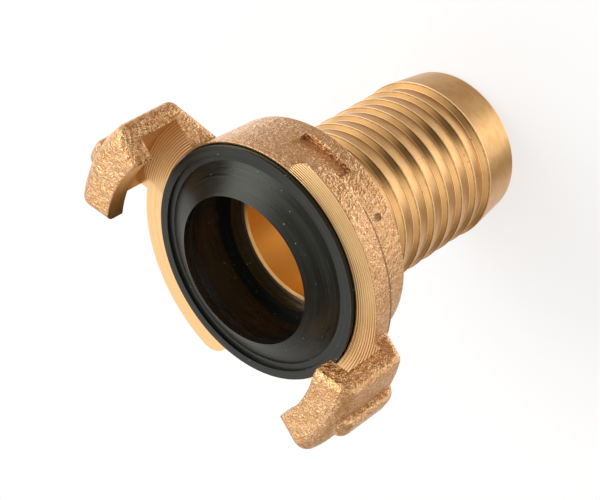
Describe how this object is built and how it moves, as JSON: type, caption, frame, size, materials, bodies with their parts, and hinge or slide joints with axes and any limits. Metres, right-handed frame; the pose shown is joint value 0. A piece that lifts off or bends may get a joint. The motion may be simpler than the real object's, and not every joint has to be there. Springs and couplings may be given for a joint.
{
  "type": "claw hose coupling",
  "caption": "Half of a two-claw quarter-turn quick coupling for water hose, with a lip seal and a barbed hose tail.",
  "frame": {"origin": "on the coupling axis, in the flat end of the hose tail, which is the lowest face", "axes": "+Z along the coupling axis, from the hose tail to the claws; the two claws are centred on +X and -X"},
  "size_m": [0.0472, 0.0376, 0.0483],
  "materials": {
    "brass": "hot-pressed and grit-blasted outside, turned on the face, the hooks, the bore and the tail",
    "seal_rubber": "moulded, matt black"
  },
  "bodies": {
    "root": {"coupling_body": "brass", "lip_seal": "seal_rubber"}
  },
  "joints": []
}
